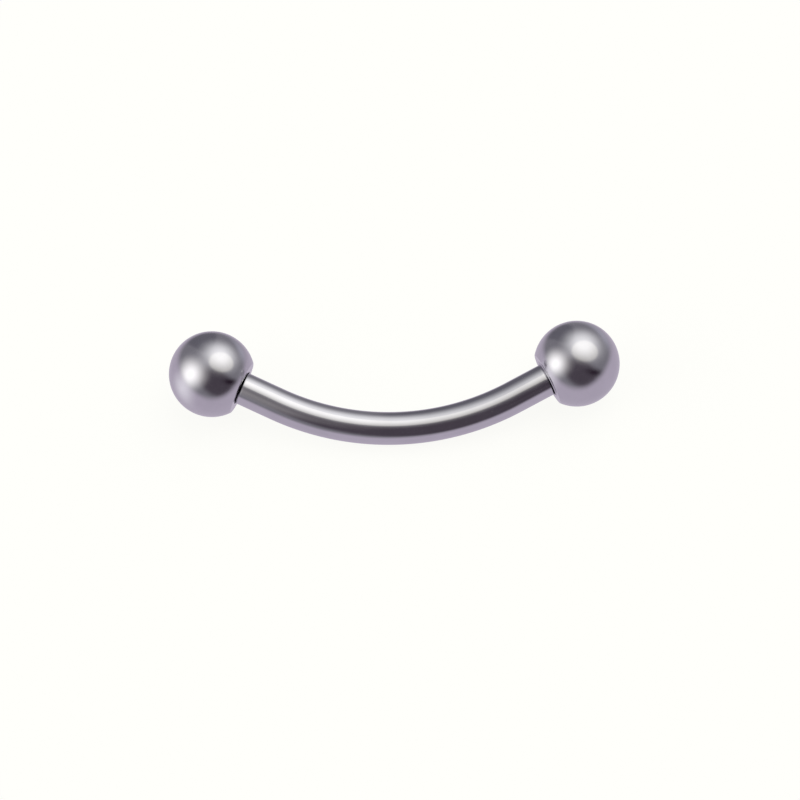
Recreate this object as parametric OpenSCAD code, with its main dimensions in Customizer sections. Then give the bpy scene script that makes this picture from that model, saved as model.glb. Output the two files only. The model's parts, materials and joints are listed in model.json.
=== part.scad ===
// Curved eyebrow barbell: a bent bar with a screw-on ball at each end.
// It lies on a flat surface as it would by itself, on both balls and the belly of the bar.
// +X runs from ball to ball, +Y is the open side of the bend, +Z is up, and the surface is at Z = 0.

/* [Bar] */
// Thickness of the bar
bar_d = 1.18; // [1:0.02:1.4]
// Gap between the two balls, taken between whole spheres
gap = 10; // [8:0.5:14]
// Angle that each end of the bar turns up
end_angle = 26.6; // [15:0.1:35]
// Length of the straight leg at each end, up to its shoulder
leg_l = 1.41; // [0.6:0.01:2.2]

/* [Balls] */
// Diameter of each ball
ball_d = 3.08; // [2.8:0.02:5]
// Diameter of the flat that faces the bar
flat_d = 1.94; // [1.8:0.02:2]
// Width taken off the flat by the bevel round its rim
rim_bevel = 0.06; // [0.02:0.01:0.1]

/* [Screw ends] */
// Length of the post that screws into the ball
post_l = 1.9; // [1.2:0.1:2]
// How far the shoulder stands out round the post
shoulder_w = 0.1; // [0.08:0.01:0.14]
// Width of the bevel round the shoulder, which leaves a fine groove where the bar meets the ball
shoulder_bevel = 0.08; // [0.04:0.01:0.1]
// Width of the bevel round the tip of the post
tip_bevel = 0.08; // [0.04:0.01:0.15]
// Depth below the flat at which the shoulder sits
sink = 0.03; // [0.02:0.01:0.1]
// How much wider the countersink is at the flat than at its floor
flare = 0.05; // [0.02:0.01:0.1]

/* [Clearances] */
// Gap between the shoulder and the floor of the countersink
seam_gap = 0.04; // [0.02:0.01:0.06]
// Gap round the bar at the floor of the countersink
mouth_gap = 0.03; // [0.02:0.01:0.05]
// Gap round the post in its bore
bore_gap = 0.03; // [0.02:0.01:0.04]
// Gap between the tip of the post and the end of the bore
tip_gap = 0.15; // [0.1:0.01:0.2]

/* [Hidden] */
$fn = 96;

bar_r = bar_d / 2;
ball_r = ball_d / 2;
flat_r = flat_d / 2;
post_r = bar_r - shoulder_w;
bore_r = post_r + bore_gap;
mouth_r = bar_r + mouth_gap;

// The shoulder's bevel, which leaves some of the shoulder's own width flat
shoulder_cut = min(shoulder_bevel, 0.9 * shoulder_w);

// Distances from a ball's centre along its leg
flat_at = sqrt(ball_r * ball_r - flat_r * flat_r);
shoulder_at = flat_at - sink;
mouth_floor_at = shoulder_at - seam_gap;
tip_at = shoulder_at - post_l;
bore_end_at = tip_at - tip_gap;
bend_at = shoulder_at + leg_l;

// Slope of the rim's bevel, halfway between the flat and the ball's own surface
rim_slope = tan(asin(flat_r / ball_r) / 2);

// The bend in its own plane, from the middle of the bar to the ball centres
half_span = (gap + ball_d) / 2;
bend_r = (half_span - bend_at * cos(end_angle)) / sin(end_angle);
rise = bend_r * (1 - cos(end_angle)) + bend_at * sin(end_angle);

// At rest the plane leans until the belly touches the surface too, or hangs down where it can't reach
lean = asin(min(1, (ball_r - bar_r) / rise));
belly_y = (bar_r - ball_r - rise * cos(lean)) / 2;
belly_z = ball_r - rise * sin(lean);

// How far a cut runs past the surface that it opens, and a half of the bend past the middle
over = 1;
over_angle = 2;

// How far the post runs on inside the leg
root_l = 0.2;

// Lays what is drawn in the plane of the bend down on the surface
module at_rest() {
    translate([0, belly_y, belly_z]) rotate([lean, 0, 0]) children();
}

// Moves to the right ball's centre, with +Z along the leg towards the bar and +X away from the bend
module at_right_ball() {
    translate([half_span, rise, 0]) rotate([90, 0, end_angle - 90]) children();
}

module on_left() {
    mirror([1, 0, 0]) children();
}

// The round section of the bar, at its distance from the centre of the bend
module section() {
    translate([bend_r, 0]) circle(d = bar_d);
}

// A straight leg and the bend from there to past the middle of the bar
module half_rod() {
    translate([-bend_r, 0, bend_at]) rotate([90, 0, 0]) {
        rotate([90, 0, 0]) linear_extrude(leg_l) section();
        rotate_extrude(angle = end_angle + over_angle) section();
    }
}

// What the bevel round the shoulder takes off the end of the leg
module bevel_cut() {
    rotate_extrude() polygon([
        [bar_r - shoulder_cut, shoulder_at - over],
        [bar_r - shoulder_cut, shoulder_at],
        [bar_r + over, shoulder_at + shoulder_cut + over],
        [bar_r + over, shoulder_at - over]
    ]);
}

// The post that screws into the ball, with its root inside the leg
module post() {
    rotate_extrude() polygon([
        [0, tip_at],
        [post_r - tip_bevel, tip_at],
        [post_r, tip_at + tip_bevel],
        [post_r, shoulder_at + root_l],
        [0, shoulder_at + root_l]
    ]);
}

module right_half_bar() {
    reach = half_span + ball_r;
    intersection() {
        at_right_ball() union() {
            difference() {
                half_rod();
                bevel_cut();
            }
            post();
        }
        translate([0, -reach, -reach]) cube(2 * reach);
    }
}

// What is cut from a ball: the cap above its flat, the countersink and the blind bore
module ball_cut() {
    rotate_extrude() polygon([
        [0, bore_end_at],
        [bore_r, bore_end_at],
        [bore_r, mouth_floor_at],
        [mouth_r, mouth_floor_at],
        [mouth_r + flare, flat_at],
        [flat_r - rim_bevel, flat_at],
        [ball_r, flat_at - rim_slope * (ball_r - flat_r + rim_bevel)],
        [ball_r, ball_r + over],
        [0, ball_r + over]
    ]);
}

module right_ball() {
    at_right_ball() difference() {
        sphere(d = ball_d);
        ball_cut();
    }
}

module bar() {
    color([0.63, 0.62, 0.65]) at_rest() union() {
        right_half_bar();
        on_left() right_half_bar();
    }
}

module ball_left() {
    color([0.62, 0.61, 0.64]) at_rest() on_left() right_ball();
}

module ball_right() {
    color([0.62, 0.61, 0.64]) at_rest() right_ball();
}

bar();
ball_left();
ball_right();
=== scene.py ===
import json
import math
from collections import namedtuple

import bmesh
import bpy
import numpy as np
from mathutils import Matrix, Vector


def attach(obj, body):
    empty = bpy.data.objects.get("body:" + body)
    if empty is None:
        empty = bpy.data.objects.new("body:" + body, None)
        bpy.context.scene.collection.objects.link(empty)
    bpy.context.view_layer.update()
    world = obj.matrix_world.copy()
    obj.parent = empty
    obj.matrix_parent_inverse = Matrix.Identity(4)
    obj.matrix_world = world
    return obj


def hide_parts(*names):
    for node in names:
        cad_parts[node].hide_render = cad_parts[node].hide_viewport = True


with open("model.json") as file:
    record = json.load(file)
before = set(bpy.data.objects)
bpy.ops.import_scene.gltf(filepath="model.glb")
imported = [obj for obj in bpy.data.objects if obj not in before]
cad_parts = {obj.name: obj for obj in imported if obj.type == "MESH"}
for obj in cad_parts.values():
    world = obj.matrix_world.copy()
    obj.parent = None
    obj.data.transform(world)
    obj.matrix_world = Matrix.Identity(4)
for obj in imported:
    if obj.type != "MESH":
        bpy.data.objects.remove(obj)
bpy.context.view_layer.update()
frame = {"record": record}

MM = 0.001
LEFT = -1
RIGHT = 1

# Sizes of the solids, in millimetres
BAR_R = 1.18 / 2
BALL_R = 3.08 / 2
FLAT_R = 1.94 / 2
GAP = 10.0
END_ANGLE = math.radians(26.6)
LEG_L = 1.41
POST_L = 1.9
SHOULDER_W = 0.1
SHOULDER_BEVEL = 0.08
TIP_BEVEL = 0.08
SINK = 0.03
SEAM_GAP = 0.04
MOUTH_GAP = 0.03
BORE_GAP = 0.03
TIP_GAP = 0.15

# Distances from a ball's centre along its leg
FLAT_AT = math.sqrt(BALL_R ** 2 - FLAT_R ** 2)
SHOULDER_AT = FLAT_AT - SINK
MOUTH_FLOOR_AT = SHOULDER_AT - SEAM_GAP
TIP_AT = SHOULDER_AT - POST_L
BORE_END_AT = TIP_AT - TIP_GAP
BEND_AT = SHOULDER_AT + LEG_L

POST_R = BAR_R - SHOULDER_W
BORE_R = POST_R + BORE_GAP
MOUTH_R = BAR_R + MOUTH_GAP

# The bend in its own plane, and how that plane leans at rest
HALF_SPAN = GAP / 2 + BALL_R
BEND_R = (HALF_SPAN - BEND_AT * math.cos(END_ANGLE)) / math.sin(END_ANGLE)
RISE = BEND_R * (1 - math.cos(END_ANGLE)) + BEND_AT * math.sin(END_ANGLE)
LEAN = math.asin((BALL_R - BAR_R) / RISE)
BELLY_Y = (BAR_R - BALL_R - RISE * math.cos(LEAN)) / 2
BELLY_Z = BALL_R - RISE * math.sin(LEAN)
AT_REST = Matrix.Translation((0, BELLY_Y, BELLY_Z)) @ Matrix.Rotation(LEAN, 4, "X")

# Lengths along the bar's centre line
BEND_L = BEND_R * END_ANGLE
HALF_L = BEND_L + LEG_L + POST_L

# The thread on the post, which the plain solids leave out, and the neck where it fades
PITCH = 0.25
THREAD_CREST_R = 0.505
THREAD_DEPTH = 0.075
THREAD_ROOT_R = THREAD_CREST_R - THREAD_DEPTH
THREAD_FADE = 0.8 * PITCH
NECK_L = 0.16
NECK_ROUND = 0.05
# The thread in the bore: its depth, its start below the countersink's floor, the length over which it deepens
# and the distances from the bore's end between which it fades
GROOVE_DEPTH = 0.07
GROOVE_START = 0.06
GROOVE_FADE_IN = 0.12
GROOVE_FADE_OUT = (0.3, 0.1)
# The bevel round the bore's edge and the drill's cone at its end
BORE_CHAMFER = 0.05
DRILL_TIP = 0.25

# Rounds on the edges, and the bevel at the left and right seam: its length on the outside and the inside of
# the bend, and between which heights round the seam it changes, from -1 on the outside to 1 on the inside
RIM_ROUND = 0.11
SHOULDER_ROUND = 0.02
BEVEL_L = {LEFT: (0.085, 0.045), RIGHT: (0.095, 0.05)}
BEVEL_CHANGE = {LEFT: (0.0, 1.0), RIGHT: (-0.5, 0.3)}

# The rounded edge of each ball's mouth, which stands up as a fine lip at the right: its inner radius, the
# radius of its round, how steeply it rises from the flat and the angle at which it ends in the mouth
LIP_R = MOUTH_R + 0.005
LIP_ROUND = {LEFT: 0.02, RIGHT: 0.06}
LIP_RISE = {LEFT: 0, RIGHT: 52}
LIP_END = -80

# Painted shade in the hollows, from 0 to 1: at the thread's root, in the neck and the bore, and how far it
# reaches out of the mouth
ROOT_SHADE = 0.5
DEEP_SHADE = 0.8
LIP_SHADE_W = 0.012
# Over which share of the bevel the painted shade in the seam thins out, and where that ends at the left and
# right seam
SHADE_EDGE = 0.2
SHADE_END = {LEFT: 0.85, RIGHT: 0.9}
# Between which heights round the seam the painted shade fades
SHADE_FADE = {LEFT: (0.3, 0.95), RIGHT: (-0.4, 0.1)}

# How finely the meshes are divided: points round the bar and a ball, rings on a turn of the thread, on a leg,
# on the bend, on a ball and on its small rounds
BAR_SEGMENTS = 96
BALL_SEGMENTS = 144
RINGS_A_TURN = 14
LEG_RINGS = 12
BEND_RINGS = 150
SPHERE_RINGS = 92
ROUND_RINGS = 14
# Rings on the post's tip and on a ball's flat, as shares of their widths
TIP_RINGS = (0.35, 0.7, 0.94, 1)
FLAT_RINGS = (0.1, 0.5, 0.9)
# Where a leg's first ring lies past the shoulder, and the angle of a ball's first ring at its far pole
LEG_START = 0.17
POLE_RING = 178.5
# Bends sharper than this are shaded as edges
SHARP_ANGLE = math.radians(32)


def at_ball(side):
    """Matrix to the left or right ball's centre, with +Z along the leg towards the bar."""
    turn = Matrix.Rotation(side * (END_ANGLE - math.pi / 2), 4, "Z") @ Matrix.Rotation(math.pi / 2, 4, "X")
    return AT_REST @ Matrix.Translation((side * HALF_SPAN, RISE, 0)) @ turn


def ease(x, start, end):
    """Goes smoothly from 0 at start to 1 at end."""
    t = np.clip((x - start) / (end - start), 0, 1)
    return t * t * (3 - 2 * t)


def thread_wave(turns):
    """Height of a thread, 0 at its root and 1 at its crest, at a place counted in turns."""
    root_share = 0.22
    crest_share = 0.14
    return ease(np.abs(2 * (turns % 1) - 1), root_share, 1 - crest_share)


def thread_rings(length):
    """Distances of the rings along a thread, without the one at its start."""
    steps = int(round(length / PITCH * RINGS_A_TURN))
    return [length * i / steps for i in range(1, steps + 1)]


def arc(centre, radius, start, end, steps):
    """Points (along, out) of a round in a profile, with its angles taken from the along direction."""
    angles = np.linspace(math.radians(start), math.radians(end), steps + 1)
    return [(centre[0] + radius * math.cos(a), centre[1] + radius * math.sin(a)) for a in angles]


def moved(matrix, points):
    """Points, in an array whose last axis is x, y, z, moved by a matrix."""
    turn = np.array(matrix.to_3x3())
    return points @ turn.T + np.array(matrix.translation)


def shown(name, data):
    """A new object in the scene."""
    made = bpy.data.objects.new(name, data)
    bpy.context.scene.collection.objects.link(made)
    return made


def grown(name, rings, caps, grain_rings, grain_caps, painted_shade_rings):
    """A closed mesh through rings of points and a point at each end, which keep their grain and painted
    shade.
    """
    count, segments = rings.shape[:2]
    points = np.concatenate([rings.reshape(-1, 3), caps])
    grain = np.concatenate([grain_rings.reshape(-1, 3), grain_caps])
    painted_shade = np.concatenate([painted_shade_rings.ravel(), [painted_shade_rings[0, 0], painted_shade_rings[-1, 0]]])
    first_cap = count * segments
    faces = []
    for i in range(count - 1):
        for j in range(segments):
            a = i * segments + j
            b = i * segments + (j + 1) % segments
            faces.append((a, b, b + segments, a + segments))
    last = (count - 1) * segments
    for j in range(segments):
        k = (j + 1) % segments
        faces.append((first_cap, k, j))
        faces.append((first_cap + 1, last + j, last + k))
    mesh = bpy.data.meshes.new(name)
    mesh.from_pydata(points * MM, [], faces)
    mesh.shade_smooth()
    mesh.set_sharp_from_angle(angle=SHARP_ANGLE)
    store = mesh.attributes.new("grain", "FLOAT_VECTOR", "POINT")
    store.data.foreach_set("vector", grain.astype(np.float32).ravel())
    # Each point's share of painted shade, for the seams, the thread's roots and the bore
    store = mesh.attributes.new("painted_shade", "FLOAT", "POINT")
    store.data.foreach_set("value", painted_shade.astype(np.float32))
    return shown(name, mesh)


# The bar

def centre_line(at):
    """Points and in-plane normals of the bar's centre line, counted from its middle."""
    on_bend = np.clip(at, -BEND_L, BEND_L)
    angle = on_bend / BEND_R
    along = np.stack([np.cos(angle), np.sin(angle), 0 * angle], -1)
    inward = np.stack([-np.sin(angle), np.cos(angle), 0 * angle], -1)
    bend = np.stack([BEND_R * np.sin(angle), BEND_R * (1 - np.cos(angle)), 0 * angle], -1)
    return bend + (at - on_bend)[..., None] * along, inward


def post_profile():
    """(Distance from the tip, radius, thread share, painted shade) down the post, from its tip to its neck.
    """
    profile = [(0, share * (POST_R - TIP_BEVEL), 0, 0) for share in TIP_RINGS]
    thread_end = POST_L - NECK_L
    for at in thread_rings(thread_end):
        profile.append((at, THREAD_ROOT_R, 1 - float(ease(at, thread_end - THREAD_FADE, thread_end)), 0))
    neck = arc((POST_L - NECK_ROUND, THREAD_ROOT_R + NECK_ROUND), NECK_ROUND, 270, 360, steps=5)
    # The neck, deep in the ball, is painted dark as shade
    return profile + [(at, r, 0, DEEP_SHADE) for at, r in neck]


def shoulder_profile(bevel_l, shade_end):
    """The same from the shoulder to the shank.

    bevel_l is the length of the shoulder's bevel, and the second argument is the share of it where the
    painted shade of the seam ends."""
    slope = math.atan2(SHOULDER_BEVEL, bevel_l)
    inner_r = BAR_R - SHOULDER_BEVEL - SHOULDER_ROUND * (1 - math.sin(slope)) / math.cos(slope)
    outer_at = POST_L + bevel_l + SHOULDER_ROUND * math.tan(slope / 2)
    facing = 90 + math.degrees(slope)
    inner_arc = arc((POST_L + SHOULDER_ROUND, inner_r), SHOULDER_ROUND, 180, facing, steps=3)
    outer_arc = arc((outer_at, BAR_R - SHOULDER_ROUND), SHOULDER_ROUND, facing, 90, steps=4)
    start, end = np.array(inner_arc[-1]), np.array(outer_arc[0])
    # The inner round of the bevel is painted fully dark as shade in the seam's groove, and the paint thins
    # out along the bevel
    profile = [(at, r, 0, 1) for at, r in inner_arc]
    for share, painted_shade in ((shade_end - SHADE_EDGE, 1), (shade_end, 0)):
        profile.append((*(start + share * (end - start)), 0, painted_shade))
    return profile + [(at, r, 0, 0) for at, r in outer_arc]


def half_stations(side, theta):
    """Stations from the tip to where the bend starts, counted from the bar's middle as if on its left.

    They are rows of (place, radius, thread share, painted shade) at each angle theta round the bar."""
    outside, inside = (np.array(post_profile() + shoulder_profile(length, SHADE_END[side]))
                       for length in BEVEL_L[side])
    change = ease(np.cos(theta), *BEVEL_CHANGE[side])[:, None]
    end = outside[:, None] * (1 - change) + inside[:, None] * change
    end[..., 0] -= HALF_L
    leg_places = np.linspace(HALF_L - POST_L - LEG_START, BEND_L, LEG_RINGS)[:-1]
    leg = np.array([(-at, BAR_R, 0, 0) for at in leg_places])
    return np.concatenate([end, np.broadcast_to(leg[:, None], (len(leg), len(theta), 4))])


def make_bar():
    theta = np.linspace(0, 2 * math.pi, BAR_SEGMENTS, endpoint=False)
    bend = np.zeros((BEND_RINGS, BAR_SEGMENTS, 4))
    bend[..., 0] = np.linspace(-BEND_L, BEND_L, BEND_RINGS)[:, None]
    bend[..., 1] = BAR_R
    right = half_stations(RIGHT, theta)[::-1]
    right[..., 0] *= -1
    at, radius, share, painted_shade = np.moveaxis(np.concatenate([half_stations(LEFT, theta), bend, right]), -1, 0)
    wave = thread_wave(at / PITCH - theta / (2 * math.pi))
    from_tip = HALF_L - np.abs(at)
    tip_cone = POST_R - TIP_BEVEL + from_tip
    threaded = np.minimum(radius + share * THREAD_DEPTH * wave, tip_cone)
    out = np.where(share > 0, threaded, radius)
    # Painted shade: the seams' dark paint fades round each seam, and the thread's roots are painted dark
    fade = np.where(at < 0, ease(np.cos(theta), *SHADE_FADE[LEFT]), ease(np.cos(theta), *SHADE_FADE[RIGHT]))
    painted_shade = painted_shade * (1 - fade) + share * ROOT_SHADE * (1 - wave)
    middle, inward = centre_line(at)
    sideways = np.array([0, 0, 1.0])
    points = middle + out[..., None] * (np.cos(theta)[:, None] * inward + np.sin(theta)[:, None] * sideways)
    grain = np.stack([out * np.cos(theta), out * np.sin(theta), at], -1)
    ends = np.array([-HALF_L, HALF_L])
    tips = centre_line(ends)[0]
    tip_grain = np.stack([0 * ends, 0 * ends, ends], -1)
    return grown("steel_bar", moved(AT_REST, points), moved(AT_REST, tips), grain, tip_grain, painted_shade)


# The balls

# How far aside each ball takes its marks in the grain, so that the two don't share them
GRAIN_SHIFT = 7.0


def outer_profile(side):
    """(Height, radius, groove share, painted shade) round a ball, from its far pole over the flat to its
    mouth.
    """
    rim_at = FLAT_AT - RIM_ROUND
    rim_r = math.sqrt((BALL_R - RIM_ROUND) ** 2 - rim_at ** 2)
    rim_angle = math.degrees(math.atan2(rim_r, rim_at))
    sphere = arc((0, 0), BALL_R, POLE_RING, rim_angle, SPHERE_RINGS)
    rim = arc((rim_at, rim_r), RIM_ROUND, rim_angle, 0, ROUND_RINGS)
    lip_round, rise = LIP_ROUND[side], math.radians(LIP_RISE[side])
    lip_centre = (FLAT_AT - lip_round * math.cos(rise), LIP_R + lip_round)
    lip = arc(lip_centre, lip_round, LIP_RISE[side], LIP_END, ROUND_RINGS)
    flat_w = rim_r - lip_centre[1] - lip_round * math.sin(rise)
    flat = [(FLAT_AT, rim_r - share * flat_w) for share in FLAT_RINGS]
    profile = [(at, r, 0, 0) for at, r in sphere + rim[1:] + flat]
    # The lip's inner edge in the mouth is painted dark as shade in the seam
    return profile + [(at, r, 0, DEEP_SHADE if r < LIP_R + LIP_SHADE_W else 0) for at, r in lip]


def bore_profile():
    """The same from the countersink's floor down the threaded bore to the drill's cone."""
    # The countersink's floor and the threaded bore are painted dark as the shade inside the ball
    profile = [
        (MOUTH_FLOOR_AT, MOUTH_R, 0, 1),
        (MOUTH_FLOOR_AT, BORE_R + BORE_CHAMFER, 0, 1),
        (MOUTH_FLOOR_AT - BORE_CHAMFER, BORE_R, 0, 1),
    ]
    thread_start = MOUTH_FLOOR_AT - GROOVE_START
    thread_l = thread_start - BORE_END_AT
    fade_out = [thread_l - distance for distance in GROOVE_FADE_OUT]
    for deep in thread_rings(thread_l):
        share = float(ease(deep, 0, GROOVE_FADE_IN) * (1 - ease(deep, *fade_out)))
        profile.append((thread_start - deep, BORE_R, share, DEEP_SHADE))
    return profile + [(BORE_END_AT - DRILL_TIP / 2, BORE_R / 2, 0, DEEP_SHADE)]


def make_ball(name, side):
    at, radius, share, painted_shade = np.array(outer_profile(side) + bore_profile()).T[..., None]
    theta = np.linspace(0, 2 * math.pi, BALL_SEGMENTS, endpoint=False)
    wave = thread_wave(at / PITCH - theta / (2 * math.pi))
    out = radius + share * GROOVE_DEPTH * wave
    ring = np.stack([out * np.cos(theta), out * np.sin(theta), np.broadcast_to(at, out.shape)], -1)
    poles = np.array([(0, 0, -BALL_R), (0, 0, BORE_END_AT - DRILL_TIP)])
    place = at_ball(side)
    grain_shift = np.array([GRAIN_SHIFT * side, 0, 0])
    # The painted shade at the mouth fades round the seam, as on the bar
    painted_shade = painted_shade * (1 - ease(-np.cos(theta), *SHADE_FADE[side]))
    return grown(name, moved(place, ring), moved(place, poles),
                 ring + grain_shift, poles + grain_shift, painted_shade)


# Shader nodes

def add(tree, kind, options=None, **inputs):
    """A new shader node. An input is a value, or a socket to link from."""
    made = tree.nodes.new(kind)
    for name, value in (options or {}).items():
        setattr(made, name, value)
    for name, value in inputs.items():
        socket = made.inputs[int(name[1:])] if name[0] == "_" else made.inputs[name.replace("_", " ")]
        give(tree, socket, value)
    return made


def give(tree, socket, value):
    """Sets an input to a value, or links it to a socket."""
    if isinstance(value, bpy.types.NodeSocket):
        tree.links.new(value, socket)
    else:
        socket.default_value = value


def math_node(tree, operation, *values):
    inputs = {f"_{index}": value for index, value in enumerate(values)}
    return add(tree, "ShaderNodeMath", {"operation": operation}, **inputs).outputs[0]


def dot(tree, vector, constant):
    product = add(tree, "ShaderNodeVectorMath", {"operation": "DOT_PRODUCT"}, _0=vector, _1=constant)
    return product.outputs["Value"]


def noise(tree, place, stretch, scale, detail):
    """Noise in the grain's own millimetres, with stretch as its cells a millimetre along each axis."""
    scaled = add(tree, "ShaderNodeVectorMath", {"operation": "MULTIPLY"}, _0=place, _1=stretch)
    return add(tree, "ShaderNodeTexNoise", None, Vector=scaled.outputs[0], Scale=scale, Detail=detail,
               Roughness=0.5).outputs[0]


def blended(tree, share, below, above, how="MIX"):
    """Colours mixed, multiplied or added by a share. A colour is a value or a socket."""
    mix = add(tree, "ShaderNodeMix", {"data_type": "RGBA", "blend_type": how, "clamp_result": False})
    for index, value in ((0, share), (6, below), (7, above)):
        give(tree, mix.inputs[index], value)
    return mix.outputs[2]


def spread(tree, value, to_low, to_high):
    """A noise's usual range spread over another one."""
    low, high = 0.3, 0.7
    return add(tree, "ShaderNodeMapRange", {"clamp": True}, Value=value, From_Min=low, From_Max=high,
               To_Min=to_low, To_Max=to_high).outputs[0]


def smooth_step(tree, value, start, end):
    """0 at start and 1 at end, smoothly, where start may be the larger one."""
    return add(tree, "ShaderNodeMapRange", {"interpolation_type": "SMOOTHSTEP"}, Value=value,
               From_Min=start, From_Max=end, To_Min=0.0, To_Max=1.0).outputs[0]


def new_tree(owner):
    """The emptied node tree of a new material or world."""
    owner.use_nodes = True
    owner.node_tree.nodes.clear()
    return owner.node_tree


def finish_tree(tree, kind, shader):
    """Links a shader to a new output of a kind."""
    output = add(tree, kind)
    tree.links.new(shader.outputs[0], output.inputs["Surface"])


# The steel

SMUDGES_A_MM = 1.1
FINE_CELLS_A_MM = 24.0
TINTS = (0.95, 1.02)
# A near black painted where shade falls: in the seams, the thread's roots, the neck and the bore
PAINTED_SHADE_COLOUR = (0.03, 0.028, 0.03, 1)
# How much smudges and polishing lines change the roughness, and what the painted shade's mask adds to it
SMUDGE_ROUGHNESS = 0.02
LINE_ROUGHNESS = 0.02
PAINTED_SHADE_ROUGHNESS = 0.3
# The relief's depth in millimetres, its strength, and the share of the fine grain in it
RELIEF_DEPTH = 0.0015
RELIEF_STRENGTH = 0.1
FINE_RELIEF = 0.5
BAR_ROUGHNESS = 0.115
BALL_ROUGHNESS = 0.16
# Cells of the polishing lines a millimetre: drawn along the bar, and turned round the balls
BAR_LINES = (26, 26, 1.2)
BALL_LINES = (1.5, 1.5, 22)


def steel(name, colour, polish, roughness):
    """Steel with a soft satin polish. polish is how its fine lines are stretched, in cells a millimetre."""
    material = bpy.data.materials.new(name)
    tree = new_tree(material)
    place = add(tree, "ShaderNodeAttribute", {"attribute_name": "grain"}).outputs["Vector"]
    lines = noise(tree, place, polish, scale=1.0, detail=2.0)
    smudge = noise(tree, place, (1, 1, 1), SMUDGES_A_MM, detail=3.0)
    fine = noise(tree, place, (1, 1, 1), FINE_CELLS_A_MM, detail=2.0)

    # Painted shade: near black mixed into the colour where the mesh marks shade in seams, threads and the
    # bore, which also makes it rougher
    painted_shade = add(tree, "ShaderNodeAttribute", {"attribute_name": "painted_shade"}).outputs["Fac"]
    clean = blended(tree, 1.0, (*colour, 1), spread(tree, smudge, *TINTS), "MULTIPLY")
    base = blended(tree, painted_shade, clean, PAINTED_SHADE_COLOUR)

    cloud = spread(tree, smudge, -SMUDGE_ROUGHNESS, SMUDGE_ROUGHNESS)
    streak = spread(tree, lines, roughness - LINE_ROUGHNESS, roughness + LINE_ROUGHNESS)
    worn = math_node(tree, "ADD", cloud, streak)
    uneven = math_node(tree, "MULTIPLY_ADD", painted_shade, PAINTED_SHADE_ROUGHNESS, worn)

    relief = math_node(tree, "MULTIPLY_ADD", fine, FINE_RELIEF, lines)
    bump = add(tree, "ShaderNodeBump", None, Strength=RELIEF_STRENGTH, Distance=RELIEF_DEPTH * MM,
               Height=relief)
    shader = add(tree, "ShaderNodeBsdfPrincipled", None, Metallic=1.0, Roughness=uneven, Base_Color=base,
                 Normal=bump.outputs[0])
    finish_tree(tree, "ShaderNodeOutputMaterial", shader)
    return material


slot_colours = {row["slot"]: tuple(row["base_color"]) for row in frame["record"]["materials"]}
bar_steel = steel("bar_steel", slot_colours["bar_steel"], BAR_LINES, BAR_ROUGHNESS)
ball_steel = steel("ball_steel", slot_colours["ball_steel"], BALL_LINES, BALL_ROUGHNESS)

bar = make_bar()
bar.data.materials.append(bar_steel)
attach(bar, "bar")
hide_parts("bar")

for node, side in (("ball_left", LEFT), ("ball_right", RIGHT)):
    ball = make_ball("steel_" + node, side)
    ball.data.materials.append(ball_steel)
    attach(ball, node)
    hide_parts(node)


# The floor

FLOOR_HALF = 3000.0
FLOOR_COLOUR = (0.12, 0.12, 0.117, 1)
FLOOR_ROUGHNESS = 0.9
FLOOR_GLOW_COLOUR = (1.0, 1.0, 0.965, 1)
FLOOR_GLOW = 0.915


def make_floor():
    """A pale floor that glows, so that its shade stays faint.

    The steel doesn't reflect it. The paper that it reflects in the photograph is lilac grey, and that is part
    of the studio."""
    half = FLOOR_HALF * MM
    corners = [(-half, -half, 0), (half, -half, 0), (half, half, 0), (-half, half, 0)]
    mesh = bpy.data.meshes.new("floor")
    mesh.from_pydata(corners, [], [(0, 1, 2, 3)])
    material = bpy.data.materials.new("pale_paper")
    tree = new_tree(material)
    shader = add(tree, "ShaderNodeBsdfPrincipled", None, Base_Color=FLOOR_COLOUR,
                 Roughness=FLOOR_ROUGHNESS, Specular_IOR_Level=0.0, Emission_Color=FLOOR_GLOW_COLOUR,
                 Emission_Strength=FLOOR_GLOW)
    finish_tree(tree, "ShaderNodeOutputMaterial", shader)
    mesh.materials.append(material)
    floor = shown("floor", mesh)
    floor.visible_glossy = False


make_floor()


# The camera, at the photograph's angle to the barbell

ELEVATION = math.radians(55)
ROLL = math.radians(1.65)
DISTANCE = 150.0
LENS = 188.33
SENSOR = 36.0
IMAGE_SIDE = 800
PIXELS_A_MM = IMAGE_SIDE * LENS / (SENSOR * DISTANCE)
# Middle of the line between the two balls in the 800 x 800 picture
BALLS_MIDDLE_PX = (394.28, 368.91)

level_up = Vector((0, math.sin(ELEVATION), math.cos(ELEVATION)))
level_right = Vector((1, 0, 0))
cam_back = Vector((0, -math.cos(ELEVATION), math.sin(ELEVATION)))


def make_camera():
    right = level_right * math.cos(ROLL) - level_up * math.sin(ROLL)
    up = level_right * math.sin(ROLL) + level_up * math.cos(ROLL)
    aim_right, aim_down = ((IMAGE_SIDE / 2 - pixels) / PIXELS_A_MM for pixels in BALLS_MIDDLE_PX)
    balls_middle = AT_REST @ Vector((0, RISE, 0))
    eye = balls_middle + right * aim_right - up * aim_down + cam_back * DISTANCE
    data = bpy.data.cameras.new("camera")
    data.lens = LENS
    data.sensor_width = SENSOR
    data.clip_start = 10 * MM
    data.clip_end = 20000 * MM
    camera = shown("camera", data)
    camera.matrix_world = Matrix.Translation(eye * MM) @ Matrix((right, up, cam_back)).transposed().to_4x4()
    bpy.context.scene.camera = camera


make_camera()


# The light: a soft studio of oval patches over lilac paper, in directions fixed to the row frame

# A patch's middle is off_axis degrees from the line to the camera, to the side given by around, and the patch
# is turned in its own plane. half_w and half_h are in degrees, and core is a share of them.
Patch = namedtuple("Patch", "around off_axis turn half_w half_h core colour")

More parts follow.
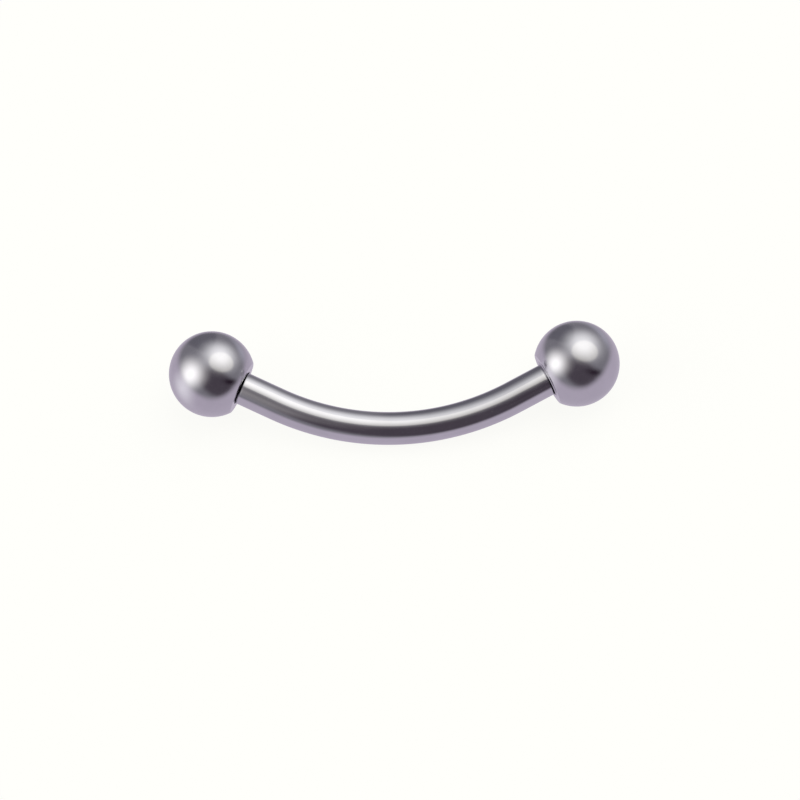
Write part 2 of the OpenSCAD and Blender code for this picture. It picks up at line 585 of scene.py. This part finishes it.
TENT_COLOUR = (0.256, 0.248, 0.278, 1)
DARK_PATCHES = (
    Patch(around=108, off_axis=107, turn=7, half_w=53, half_h=22, core=0.8, colour=(0.17, 0.165, 0.195, 1)),
    Patch(around=291, off_axis=26, turn=29, half_w=85, half_h=44, core=0.6, colour=(0.09, 0.075, 0.095, 1)),
    Patch(around=335, off_axis=56, turn=102, half_w=13, half_h=39, core=0.0, colour=(0.01, 0.0, 0.01, 1)),
)
SOFT_LIGHTS = (
    Patch(around=53, off_axis=42, turn=39, half_w=29, half_h=35, core=0.9, colour=(0.35, 0.345, 0.285, 1)),
    Patch(around=68, off_axis=58, turn=-42, half_w=72, half_h=66, core=0.15, colour=(1.0, 1.01, 0.98, 1)),
    Patch(around=176, off_axis=57, turn=-3, half_w=60, half_h=47, core=0.0, colour=(1.53, 1.52, 1.45, 1)),
    Patch(around=41, off_axis=123, turn=39, half_w=42, half_h=18, core=0.1, colour=(0.22, 0.22, 0.265, 1)),
)
PAPER_COLOUR = (0.597, 0.539, 0.644, 1)
LIGHT_ON_PAPER = Patch(around=201, off_axis=92, turn=14, half_w=60, half_h=38, core=0.0,
                       colour=(0.44, 0.465, 0.43, 1))
# Height of the paper's edge as a direction where x and y are 0, and its change with x, y and their squares
EDGE_HEIGHT = -0.59
EDGE_X = -0.04
EDGE_Y = -0.08
EDGE_XX = 0.63
EDGE_YY = 0.29
EDGE_SOFT = 0.18
# The light tent round the barbell, which is near enough for each ball to reflect it from its own place
TENT_R = 80.0
TENT_MIDDLE = (0, 0, 1)
# How fast a patch's reach grows on the far side of the studio
FAR_SIDE_GROWTH = 4.0


def oval(tree, direction, patch):
    """How much a direction lies in a patch of the studio, from 0 at its edge to 1 in its core."""
    around, off_axis, turn = (math.radians(angle) for angle in (patch.around, patch.off_axis, patch.turn))
    sideways = level_right * math.cos(around) + level_up * math.sin(around)
    round_axis = level_up * math.cos(around) - level_right * math.sin(around)
    middle = sideways * math.sin(off_axis) + cam_back * math.cos(off_axis)
    outward = sideways * math.cos(off_axis) - cam_back * math.sin(off_axis)
    wide = outward * math.cos(turn) + round_axis * math.sin(turn)
    high = round_axis * math.cos(turn) - outward * math.sin(turn)
    x = dot(tree, direction, wide / math.sin(math.radians(patch.half_w)))
    y = dot(tree, direction, high / math.sin(math.radians(patch.half_h)))
    # x and y are small again on the far side of the studio, where this soon takes the reach past the edge
    behind = math_node(tree, "MINIMUM", dot(tree, direction, FAR_SIDE_GROWTH * middle), 0.0)
    place = add(tree, "ShaderNodeCombineXYZ", None, X=x, Y=y, Z=behind).outputs[0]
    reach = add(tree, "ShaderNodeVectorMath", {"operation": "LENGTH"}, _0=place).outputs["Value"]
    return smooth_step(tree, reach, 1.0, patch.core)


def studio_colour(tree, direction):
    """The studio's colour in a direction."""
    studio = TENT_COLOUR
    for patch in DARK_PATCHES:
        studio = blended(tree, oval(tree, direction, patch), studio, patch.colour)
    for patch in SOFT_LIGHTS:
        studio = blended(tree, oval(tree, direction, patch), studio, patch.colour, "ADD")
    x, y, height = add(tree, "ShaderNodeSeparateXYZ", None, Vector=direction).outputs
    slope_x = math_node(tree, "MULTIPLY_ADD", x, EDGE_XX, EDGE_X)
    slope_y = math_node(tree, "MULTIPLY_ADD", y, EDGE_YY, EDGE_Y)
    edge = math_node(tree, "MULTIPLY_ADD", x, slope_x, EDGE_HEIGHT)
    edge = math_node(tree, "MULTIPLY_ADD", y, slope_y, edge)
    below = math_node(tree, "SUBTRACT", edge, height)
    studio = blended(tree, smooth_step(tree, below, -EDGE_SOFT, EDGE_SOFT), studio, PAPER_COLOUR)
    return blended(tree, oval(tree, direction, LIGHT_ON_PAPER), studio, LIGHT_ON_PAPER.colour, "ADD")


def make_world():
    """The studio far away, which lights the floor. The steel reflects the tent instead."""
    world = bpy.data.worlds.new("studio")
    bpy.context.scene.world = world
    tree = new_tree(world)
    direction = add(tree, "ShaderNodeTexCoord").outputs["Generated"]
    glow = add(tree, "ShaderNodeBackground", None, Color=studio_colour(tree, direction))
    finish_tree(tree, "ShaderNodeOutputWorld", glow)
    world.cycles_visibility.glossy = False


def make_tent():
    """The same studio on a round tent, which only the steel's reflections see."""
    material = bpy.data.materials.new("light_tent")
    tree = new_tree(material)
    place = add(tree, "ShaderNodeTexCoord").outputs["Object"]
    direction = add(tree, "ShaderNodeVectorMath", {"operation": "NORMALIZE"}, _0=place).outputs[0]
    glow = add(tree, "ShaderNodeEmission", None, Color=studio_colour(tree, direction))
    finish_tree(tree, "ShaderNodeOutputMaterial", glow)
    material.cycles.emission_sampling = "NONE"

    mesh = bpy.data.meshes.new("light_tent")
    shape = bmesh.new()
    bmesh.ops.create_icosphere(shape, subdivisions=5, radius=TENT_R * MM)
    shape.to_mesh(mesh)
    shape.free()
    mesh.materials.append(material)
    tent = shown("light_tent", mesh)
    tent.location = Vector(TENT_MIDDLE) * MM
    tent.visible_camera = False
    tent.visible_diffuse = False
    tent.visible_transmission = False
    tent.visible_volume_scatter = False
    tent.visible_shadow = False


make_world()
make_tent()
bpy.context.scene.view_settings.view_transform = "Standard"
